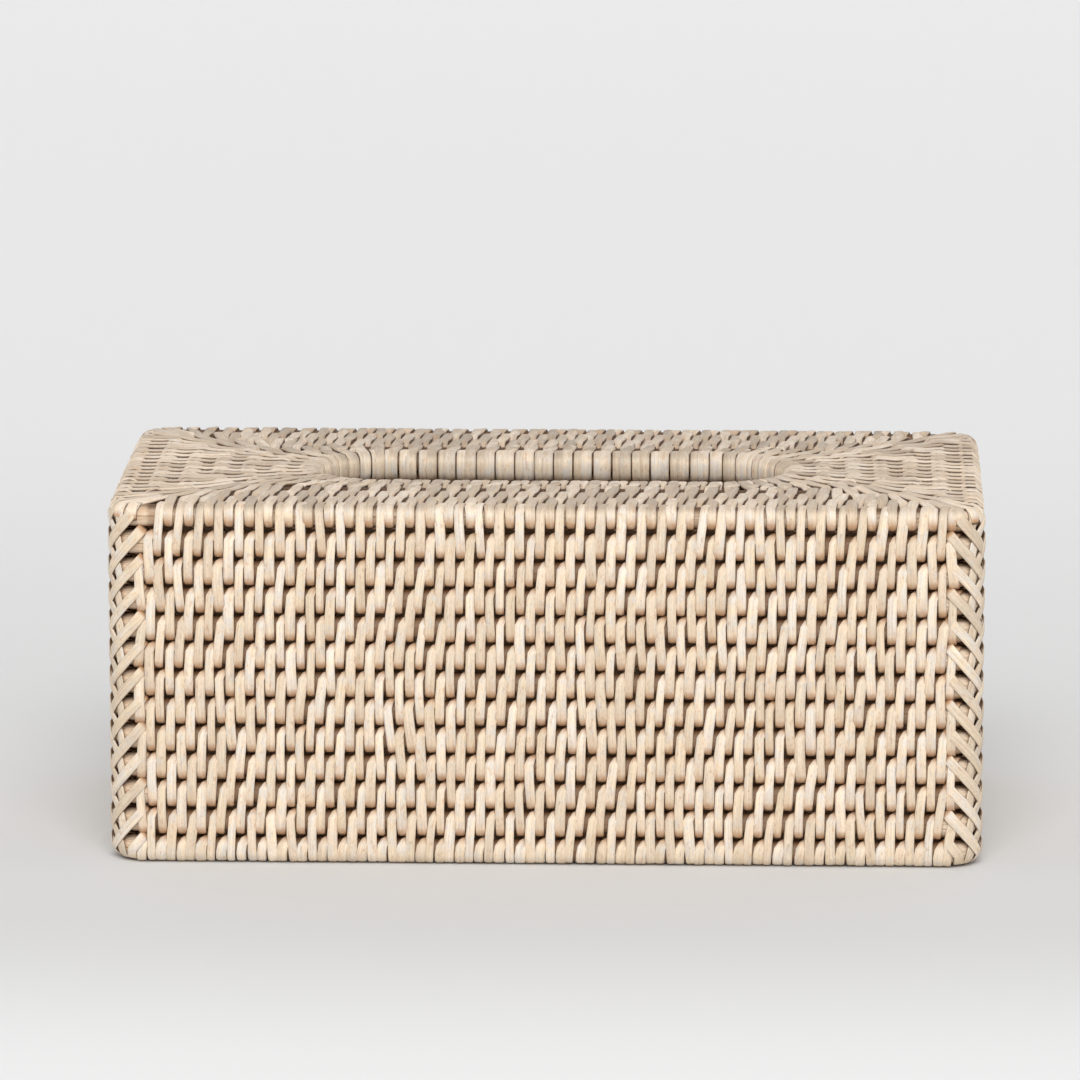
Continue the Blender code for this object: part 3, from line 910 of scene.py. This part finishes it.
# The same for the strips of the top, which are widest between their two canes
TOP_UPPER_TURNS = ((132, 0.7, 1.0, 0.55), (98, 0.6, 0.80, 0.60), (66, 0.36, 0.34, 0.70),
                   (36, 0.15, 0.06, 0.82), (12, 0.03, 0.0, 0.93))
TOP_LOWER_TURNS = ((-12, 0.0, 0.0, 0.93), (-36, 0.0, 0.10, 0.85), (-66, 0.0, 0.40, 0.78),
                   (-98, 0.0, 0.85, 0.72), (-138, -0.3, 1.0, 0.70))

# Axes of a strip that is drawn in its place
FLAT = ((1, 0, 0), (0, 1, 0), (0, 0, 1))

# Spans between two canes for which a strip of the top is drawn; the nearest is picked and stretched
SPANS = [ROW_PITCH * 1.12 ** step for step in range(9)]


# How far the next cane is looked for, and in how many halvings
SPAN_LIMIT = 0.06
HALVINGS = 24

# Where three strips of a corner's fan start round the edge cane's bend, as shares of the bend, and how
# many steps the fan's first and last strips stay from the ends of the ring's bend
BEND_SHARES = (0.16, 0.5, 0.84)
FAN_MARGIN = 0.7

# How much closer together strips are counted where they spread outwards, how much wider one is at a
# ring's bends and how much narrower beside its short sides
BEND_CROWDING = 0.8
BEND_WIDENING = 0.7
END_NARROWING = 0.20

# How much single strips of the top vary in width and in how far they stand up
TOP_WIDTHS = (0.95, 1.06)
TOP_STANDS = (0.97, 1.03)

# From how many pitches on a gap between two strips is filled, how far past the infill canes' ends the
# strips of the end fields are laid, and how narrow a short wrap of the rim may be, in strip widths
FILLED_GAP = 1.2
END_FIELD_MARGIN = 0.0035
NARROWEST_WRAP = 0.5


def beyond_ring(place, shape):
    """Level distance of a place outside a rounded rectangle; it is negative inside."""
    half_x, half_y, radius = shape
    over_x, over_y = abs(place.x) - (half_x - radius), abs(place.y) - (half_y - radius)
    return math.hypot(max(over_x, 0), max(over_y, 0)) + min(max(over_x, over_y), 0) - radius


def reach_to_ring(place, facing, shape):
    """How far a level ray goes from inside a rounded rectangle until it meets it."""
    near, far = 0.0, SPAN_LIMIT
    for _ in range(HALVINGS):
        middle = (near + far) / 2
        if beyond_ring(place + middle * facing, shape) < 0:
            near = middle
        else:
            far = middle
    return near


def side_runs(shape, odd):
    """Runs of the strips beside a ring's straight sides, in line with those of the walls."""
    half_x, half_y, radius = shape
    quarter = ring_length(shape) / 4
    beside_x = [x for x in grid_runs(LONG_WALL_RUN, odd) if abs(x) <= half_x - radius]
    beside_y = [y for y in grid_runs(END_WALL_RUN, odd) if abs(y) <= half_y - radius]
    runs = [y % (4 * quarter) for y in beside_y] + [quarter + x for x in beside_x]
    return sorted(runs + [2 * quarter + y for y in beside_y] + [3 * quarter + x for x in beside_x])


def bridge_stops(inner, outer, upper, lower):
    """Stops of a strip, seen from its outer place, whose two ends wrap square to their own canes.

    Each end is a place and a direction.
    """
    radius = wrap_radius()
    stops = []
    for (place, facing), turns in ((outer, upper), (inner, lower)):
        for degrees, _, depth, breadth in turns:
            turn = math.radians(degrees)
            out = facing * math.sin(turn) + UP * math.cos(turn)
            stops.append((place - outer[0] + radius * out, out, depth, breadth))
    return stops


def corner_bridges(sign_x, sign_y):
    """Places and strips of the first course that fan over a corner from the bend of the first ring."""
    sizes = bpy.context.scene.rattan_weave
    ring = ring_shape(1)
    level_x, level_y = ring[0] - ring[2], ring[1] - ring[2]
    limit = FIRST_ROW_RUN if sign_x == sign_y else LONG_WALL_RUN
    beside = sorted(-sign_x * sign_y * x for x in grid_runs(LONG_WALL_RUN, True))
    along = sorted((sign_x * sign_y * y for y in grid_runs(END_WALL_RUN, True)), reverse=True)
    edges = [(Vector((x, EDGE_Y, 0)), Vector((0, 1, 0)), FRONT_TURNS)
             for x in beside if level_x < x < limit]
    for share in BEND_SHARES:
        facing = Vector((math.sin(share * math.pi / 2), math.cos(share * math.pi / 2), 0))
        centre = Vector((EDGE_X - EDGE_BEND, EDGE_Y - EDGE_BEND, 0))
        edges.append((centre + EDGE_BEND * facing, facing, BEND_TURNS))
    edges += [(Vector((EDGE_X, y, 0)), Vector((1, 0, 0)), FRONT_TURNS) for y in along if y > level_y]
    start, end = ring_length(ring) / 4 - level_x, level_y
    flip = Vector((sign_x, sign_y, 1))
    strips = []
    for index, (place, facing, turns) in enumerate(edges):
        share = (index + FAN_MARGIN) / (len(edges) - 1 + 2 * FAN_MARGIN)
        inner = ring_walk(ring, start + (end - start) * share)
        stops = bridge_stops((inner[0] * flip, inner[1] * flip), (place * flip, facing * flip),
                             turns, TOP_LOWER_TURNS)
        width = sizes.bridge_breadth * sizes.strip_width
        strips.append((place * flip + TOP_HEIGHT * UP,
                       strip_mesh("bridge", stops, width, sizes.strip_thickness)))
    return strips


def course_runs(inner, outer, odd):
    """Runs round the inner ring of all the strips of a course, with the bends filled evenly."""
    pitch = bpy.context.scene.rattan_weave.strip_pitch
    total = ring_length(inner)
    runs = side_runs(inner, odd)
    filled = []
    for here, there in zip(runs, runs[1:] + [runs[0] + total]):
        filled.append(here)
        if there - here < FILLED_GAP * pitch:
            continue
        place, facing = ring_walk(inner, (here + there) / 2 % total)
        widening = 1 + BEND_CROWDING * reach_to_ring(place, facing, outer) / inner[2]
        count = max(round((there - here) * widening / pitch), 1)
        filled += [(here + (there - here) * step / count) % total for step in range(1, count)]
    return sorted(filled)


def top_place(inner, outer, run, chance):
    """Place of one strip of the top, across from the inner ring to the outer one."""
    place, facing = ring_walk(inner, run)
    span = reach_to_ring(place, facing, outer)
    number = min(range(len(SPANS)), key=lambda index: abs(SPANS[index] - span))
    fanned = 1 - max(abs(facing.x), abs(facing.y))
    across = chance.uniform(*TOP_WIDTHS) * (1 - END_NARROWING * facing.x ** 2)
    across *= 1 + BEND_WIDENING * fanned
    stretch = (across, span / SPANS[number], chance.uniform(*TOP_STANDS))
    return place + facing * span / 2 + TOP_HEIGHT * UP, (facing.cross(UP), facing, UP), stretch, number


def span_patterns(upper, lower, drop=0.0):
    """Strips of the top for every span."""
    sizes = bpy.context.scene.rattan_weave
    width = sizes.strip_width * sizes.top_breadth
    return [strip_mesh("top", wrap_stops(span, upper, lower, sizes.top_slant, drop), width,
                       sizes.strip_thickness) for span in SPANS]


class RATTAN_OT_top_weave(bpy.types.Operator):
    """Weave the strips of the top, course by course from the edge cane inwards"""
    bl_idname = "rattan.top_weave"
    bl_label = "Top weave"

    def execute(self, context):
        seed = context.scene.rattan_weave.seed
        peel = bpy.data.materials["Peel"]
        rings = [ring_shape(step) for step in range(TOP_RINGS + 1)]
        for course, (outer, inner) in enumerate(zip(rings, rings[1:])):
            chance = random.Random(seed + 10 + course)
            patterns = span_patterns(TOP_UPPER_TURNS if course else FRONT_TURNS, TOP_LOWER_TURNS)
            odd = course % 2 == 0
            runs = course_runs(inner, outer, odd) if course else side_runs(inner, odd)
            places = [top_place(inner, outer, run, chance) for run in runs]
            if course == 0:
                for signs in ((-1, -1), (-1, 1), (1, -1), (1, 1)):
                    for place, strip in corner_bridges(*signs):
                        places.append((place, FLAT, (1, 1, 1), len(patterns)))
                        patterns.append(strip)
            piece = lay_strips(f"top_course_{course + 1}", places, patterns, peel, seed + course)
            hand_in(piece, "top_peel", f"top_binding_{course + 1}")
        shapes = [rings[TOP_RINGS], infill_shape(2), infill_shape(1)]
        for side, sign in (("left", -1), ("right", 1)):
            chance = random.Random(seed + 20 + sign)
            places = [top_place(inner, outer, run, chance)
                      for number, (outer, inner) in enumerate(zip(shapes, shapes[1:]))
                      for run in course_runs(inner, outer, number == 1)]
            places = [entry for entry in places
                      if entry[0].x * sign > 0 and abs(entry[0].y) < INFILL_REACH + END_FIELD_MARGIN]
            patterns = span_patterns(TOP_UPPER_TURNS, TOP_LOWER_TURNS)
            piece = lay_strips(f"end_weave_{side}", places, patterns, peel, seed + 30 + sign)
            hand_in(piece, "top_peel", f"end_binding_{side}_1", f"end_binding_{side}_2")
        return {"FINISHED"}


class RATTAN_OT_rim_wrapping(bpy.types.Operator):
    """Wrap the slot rim: strips from the next cane over the rim, and short wraps between them"""
    bl_idname = "rattan.rim_wrapping"
    bl_label = "Rim wrapping"

    def execute(self, context):
        sizes = context.scene.rattan_weave
        chance = random.Random(sizes.seed + 40)
        rim = ring_shape(BAND_STEPS)
        ends = infill_shape(1)
        total = ring_length(rim)

        def outer_ring(run):
            """The ring of the next cane outwards from the rim: at the ends it is an infill cane's."""
            place, facing = ring_walk(rim, run % total)
            landing = place + facing * reach_to_ring(place, facing, ends)
            at_end = abs(place.x) > rim[0] - rim[2] and abs(landing.y) < INFILL_REACH
            return ends if at_end else ring_shape(TOP_RINGS)

        def landing(run):
            """Where the strip at a run reaches its outer cane."""
            place, facing = ring_walk(rim, run % total)
            return place + facing * reach_to_ring(place, facing, outer_ring(run))

        runs = course_runs(rim, ends, True)
        filled = []
        for here, there in zip(runs, runs[1:] + [runs[0] + total]):
            apart = (landing(there) - landing(here)).length
            count = min(max(round(apart / sizes.strip_pitch), 1), 3)
            filled += [here + (there - here) * step / count for step in range(count)]
        places = []
        for here, there in zip(filled, filled[1:] + [filled[0] + total]):
            places.append(top_place(rim, outer_ring(here), here, chance))
            place, facing = ring_walk(rim, (here + there) / 2 % total)
            room = (there - here - sizes.strip_width) / sizes.strip_width
            places.append((place + TOP_HEIGHT * UP, (facing.cross(UP), facing, UP),
                           (max(room, NARROWEST_WRAP), 1, 1), len(SPANS)))
        patterns = span_patterns(TOP_UPPER_TURNS, RIM_TURNS, sizes.rim_drop)
        stops = wrap_stops(0, TOP_UPPER_TURNS, RIM_TURNS, drop=sizes.rim_drop)
        patterns.append(strip_mesh("rim", stops, sizes.strip_width, sizes.strip_thickness))
        piece = lay_strips("rim_wrapping", places, patterns, bpy.data.materials["Peel"], sizes.seed + 41)
        hand_in(piece, "top_peel", "slot_rim_wrapping")
        return {"FINISHED"}


# How the corner strips cross: (rows down, run along the outside of the bend) from the long wall's
# side to the end wall's side, and back
OUTGOING = ((0, -0.0008), (0.55, 0.0040), (1.15, 0.0092), (2, 0.0168))
RETURNING = ((0, 0.0198), (0.5, 0.0154), (0.9, 0.0121), (1.1, 0.0102), (1.35, 0.0085), (1.7, 0.0076),
             (2, 0.0072))
BEND_OUTSIDE = CAD_BOX[1].x - EDGE_X + EDGE_BEND

# Turns of a corner strip that comes over the edge cane from the gap behind it or from its top, and of
# one that goes in under the lowest cane
FROM_BEHIND = (150, 120, 90, 60, 30)
FROM_ABOVE = (84, 66, 46, 26)
UNDER_FOOT = (-30, -60, -90, -120, -150)

# Rows from such an end to where the strip faces straight out, and rows that it moves for each degree
TURN_END = 0.5
ROWS_PER_DEGREE = 0.002

# Rows from an end in a gap to where the strip lies on the canes
GAP_END = 0.2

# Where a strip of each course goes down from over the other to under it: rows down, and rows it takes
CROSSINGS = {OUTGOING: (1.45, 0.4), RETURNING: (0.65, 0.3)}

# Most that a corner strip is off its course, along the bend and up or down, and how it varies in width
COURSE_SHIFT = 0.0004
COURSE_TILT = 0.0002
LASHING_WIDTHS = (0.9, 1.08)

# How far inwards from a cane's axis the ends of a corner strip lie hidden
HIDDEN_END = -0.0015


def run_at(course, rows):
    """Run along the bend of a corner strip that is some rows down."""
    for (low, start), (high, end) in zip(course, course[1:]):
        if rows <= high:
            return start + (end - start) * (rows - low) / (high - low)
    return course[-1][1]


def corner_axis(run, sign_x, sign_y):
    """Level place on a cane's axis and its outward direction, at a run round a corner's outside."""
    turn = min(max(run / BEND_OUTSIDE, 0), math.pi / 2)
    out = Vector((sign_x * math.sin(turn), sign_y * math.cos(turn), 0))
    centre = Vector((sign_x * (EDGE_X - EDGE_BEND), sign_y * (EDGE_Y - EDGE_BEND), 0))
    past = max(run - BEND_OUTSIDE * math.pi / 2, 0)
    return centre + EDGE_BEND * out + Vector((sign_x * min(run, 0), -sign_y * past, 0)), out


def lashing_stops(course, gap, sign_x, sign_y, chance):
    """Stops of one corner strip from the gap where it comes out to the one where it goes in.

    Gap 0 is over the edge cane, and gap ROWS is under the lowest one. Strips that would start above
    the cover or end below it are cut short there and turn over the cane.
    """
    sizes = bpy.context.scene.rattan_weave
    low = CANE_RADIUS + sizes.clearance + sizes.lashing_thickness / 2
    shift = chance.uniform(-COURSE_SHIFT, COURSE_SHIFT)
    tilt = chance.uniform(-COURSE_TILT, COURSE_TILT)
    top = TOP_HEIGHT + ROW_PITCH / 2
    stops = []

    def stop(rows, radius, turn, depth, breadth=1.0, height=None):
        """A stop round the cane beside it, or at a height: turn is up from straight out, in degrees."""
        run = run_at(course, rows) + shift * math.sin(math.pi * rows / 2)
        axis, out = corner_axis(run, sign_x, sign_y)
        across = math.radians(turn)
        facing = out * math.cos(across) + UP * math.sin(across)
        if height is None:
            height = top - (gap + rows) * ROW_PITCH + tilt
        stops.append((axis + radius * facing + UP * height, facing, depth, breadth))

    def over(rows):
        """How far a strip stands off: each lies over the other on the side where it starts."""
        start, taken = CROSSINGS[course]
        share = min(max((rows - start) / taken, 0), 1)
        return low + sizes.lashing_thickness * (1 - share * share * (3 - 2 * share))

    first = max(0.0, -gap)
    last = min(2.0, ROWS - gap)
    starts_high, ends_low = gap <= 0, gap + 2 >= ROWS
    if starts_high:
        turns, depth = (FROM_BEHIND, 0.9) if gap == 0 else (FROM_ABOVE, 0.35)
        for turn in turns:
            lie = (0.6 * low, turn, depth, 0.35) if turn == turns[0] else (low, turn, 0)
            stop(first + TURN_END - ROWS_PER_DEGREE * turn, *lie, height=TOP_HEIGHT)
    else:
        stop(-0.06, HIDDEN_END, 0, 1.0)
        stop(-0.02, 0.60 * low, 0, 0.55)
        stop(0.08, 0.94 * low, 0, 0.04)
    start = first + (TURN_END if starts_high else GAP_END)
    end = last - (TURN_END if ends_low else GAP_END)
    for rows in [step / 8 for step in range(17) if start <= step / 8 <= end]:
        stop(rows, over(rows), 0, 0)
    if ends_low:
        for turn in UNDER_FOOT:
            depth = 0.5 if turn == UNDER_FOOT[-1] else 0
            stop(last - TURN_END - ROWS_PER_DEGREE * turn, low, turn, depth, height=ROW_HEIGHTS[-1])
    else:
        stop(1.90, 0.90 * low, 0, 0.35)
        stop(1.98, 0.58 * low, 0, 0.8)
        stop(2.02, HIDDEN_END, 0, 1.0)
    return stops


class RATTAN_OT_corner_lashings(bpy.types.Operator):
    """Lash the four upright corners with crossing strips"""
    bl_idname = "rattan.corner_lashings"
    bl_label = "Corner lashings"

    def execute(self, context):
        sizes = context.scene.rattan_weave
        peel = peel_material("Lashing peel", context.scene.rattan_finishes.lashing_peel, -0.10)
        for depth_name, sign_y in (("front", -1), ("back", 1)):
            for side, sign_x in (("left", -1), ("right", 1)):
                chance = random.Random(sizes.seed + 60 + 2 * sign_x + sign_y)
                strips = []
                for course in (OUTGOING, RETURNING):
                    for gap in range(-1, ROWS):
                        width = sizes.lashing_width * chance.uniform(*LASHING_WIDTHS)
                        stops = lashing_stops(course, gap, sign_x, sign_y, chance)
                        strips.append(strip_mesh("corner", stops, width, sizes.lashing_thickness))
                places = [(Vector((0, 0, 0)), FLAT, (1, 1, 1), index) for index in range(len(strips))]
                name = f"lashing_{depth_name}_{side}"
                piece = lay_strips(name, places, strips, peel, sizes.seed + 70 + sign_x + sign_y, 0)
                hand_in(piece, "lashing_peel", f"corner_lashing_{depth_name}_{side}")
        return {"FINISHED"}


# Where the camera aims: to the left of the cover's middle, above it, and how high that middle is taken
AIM_LEFT = 0.0039
AIM_ABOVE = 0.0350
AIM_HEIGHT = 0.057

# Width of the camera's sensor in millimetres and how far it sees
SENSOR_WIDTH = 36
FARTHEST_SEEN = 50

# The floor runs level to its far edge and turns up into the backdrop
FLOOR_HALF_WIDTH = 6.0
FLOOR_FRONT = -6.0
FLOOR_BACK = 2.2
BACKDROP_BEND = 1.2
BACKDROP_TOP = 5.0
BACKDROP_STEPS = 16

# Direction that the front light comes from and how wide it is
KEY_AZIMUTH = math.radians(3)
KEY_ELEVATION = math.radians(46)
KEY_SPREAD = math.radians(40)

# Painted shade of the floor round the cover: from and to a place behind the cover's middle, and the shades
# there
NEAR_SHADES = (-0.34, -0.13, 1.10, 0.90)
FAR_SHADES = (0.12, 0.75, 0.0, 0.09)


def floor_material(colour):
    """Matte floor and backdrop, with painted shade that makes it a little darker round the cover than in
    front of it and behind it.
    """
    material, tree, shader = new_material("Pale floor", 0.9)
    put(shader["Specular IOR Level"], 0.0)
    back = object_axes(tree)[1]
    shade = maths(tree, "ADD", fade(tree, back, *NEAR_SHADES), fade(tree, back, *FAR_SHADES))
    put(shader["Base Color"], shaded(tree, colour, shade))
    return material


class RATTAN_OT_stage(bpy.types.Operator):
    """Set up the floor, the backdrop, the lamps and the camera"""
    bl_idname = "rattan.stage"
    bl_label = "Stage"

    def execute(self, context):
        scene = context.scene
        stage = scene.rattan_stage
        right = Vector((math.cos(stage.azimuth), math.sin(stage.azimuth), 0))
        level = Vector((math.sin(stage.azimuth), -math.cos(stage.azimuth), 0))
        toward = math.cos(stage.elevation) * level + math.sin(stage.elevation) * UP
        camera = bpy.data.cameras.new("Camera")
        camera.sensor_width = SENSOR_WIDTH
        camera.lens = stage.lens
        camera.clip_end = FARTHEST_SEEN
        item = bpy.data.objects.new("Camera", camera)
        middle = Vector((0, 0, AIM_HEIGHT))
        item.location = middle + stage.distance * toward
        aim = middle + AIM_ABOVE * right.cross(-toward) - AIM_LEFT * right
        item.rotation_euler = (aim - item.location).to_track_quat("-Z", "Y").to_euler()
        scene.collection.objects.link(item)
        scene.camera = item

        outline = [(FLOOR_FRONT, 0.0), (FLOOR_BACK, 0.0)]
        for step in range(1, BACKDROP_STEPS + 1):
            turn = step / BACKDROP_STEPS * math.pi / 2
            outline.append((FLOOR_BACK + BACKDROP_BEND * math.sin(turn),
                            BACKDROP_BEND * (1 - math.cos(turn))))
        outline.append((FLOOR_BACK + BACKDROP_BEND, BACKDROP_TOP))
        points = [(x, y, z) for y, z in outline for x in (-FLOOR_HALF_WIDTH, FLOOR_HALF_WIDTH)]
        faces = [(index, index + 1, index + 3, index + 2) for index in range(0, len(points) - 2, 2)]
        floor = bpy.data.meshes.new("floor")
        floor.from_pydata(points, [], faces)
        floor.shade_smooth()
        floor.materials.append(floor_material(stage.floor_colour))
        sweep = bpy.data.objects.new("floor", floor)
        scene.collection.objects.link(sweep)

        lamp = bpy.data.lights.new("Front light", "SUN")
        lamp.energy = stage.key_power
        lamp.angle = KEY_SPREAD
        front = bpy.data.objects.new("Front light", lamp)
        source = Vector((math.sin(KEY_AZIMUTH) * math.cos(KEY_ELEVATION),
                         -math.cos(KEY_AZIMUTH) * math.cos(KEY_ELEVATION), math.sin(KEY_ELEVATION)))
        front.rotation_euler = source.to_track_quat("Z", "Y").to_euler()
        scene.collection.objects.link(front)
        world = scene.world or bpy.data.worlds.new("Studio")
        scene.world = world
        world.use_nodes = True
        sky = world.node_tree.nodes["Background"].inputs
        put(sky["Color"], (1, 1, 1))
        put(sky["Strength"], stage.sky)
        scene.view_settings.view_transform = "Standard"
        return {"FINISHED"}


class RATTAN_PT_cover(bpy.types.Panel):
    """Sizes, finishes and steps of the rattan cover"""
    bl_idname = "RATTAN_PT_cover"
    bl_label = "Rattan cover"
    bl_space_type = "VIEW_3D"
    bl_region_type = "UI"
    bl_category = "Rattan"

    def draw(self, context):
        layout = self.layout
        scene = context.scene
        for group in (scene.rattan_weave, scene.rattan_finishes, scene.rattan_stage):
            box = layout.box()
            for name in group.bl_rna.properties.keys():
                if name not in ("rna_type", "name"):
                    box.prop(group, name)
        for step in STEPS:
            layout.operator(step.bl_idname)


STEPS = (RATTAN_OT_canes, RATTAN_OT_wall_weave, RATTAN_OT_top_weave, RATTAN_OT_rim_wrapping,
         RATTAN_OT_corner_lashings, RATTAN_OT_stage)
CLASSES = (WeaveSizes, Finishes, StageSettings, *STEPS, RATTAN_PT_cover)


def register():
    for kind in CLASSES:
        bpy.utils.register_class(kind)
    bpy.types.Scene.rattan_weave = PointerProperty(type=WeaveSizes)
    bpy.types.Scene.rattan_finishes = PointerProperty(type=Finishes)
    bpy.types.Scene.rattan_stage = PointerProperty(type=StageSettings)


def unregister():
    del bpy.types.Scene.rattan_weave
    del bpy.types.Scene.rattan_finishes
    del bpy.types.Scene.rattan_stage
    for kind in reversed(CLASSES):
        bpy.utils.unregister_class(kind)


def main():
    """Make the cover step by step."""
    register()
    strips_tree()
    cane_tree()
    bpy.ops.rattan.canes()
    bpy.ops.rattan.wall_weave()
    bpy.ops.rattan.top_weave()
    bpy.ops.rattan.rim_wrapping()
    bpy.ops.rattan.corner_lashings()
    bpy.ops.rattan.stage()


if __name__ == "__main__":
    main()
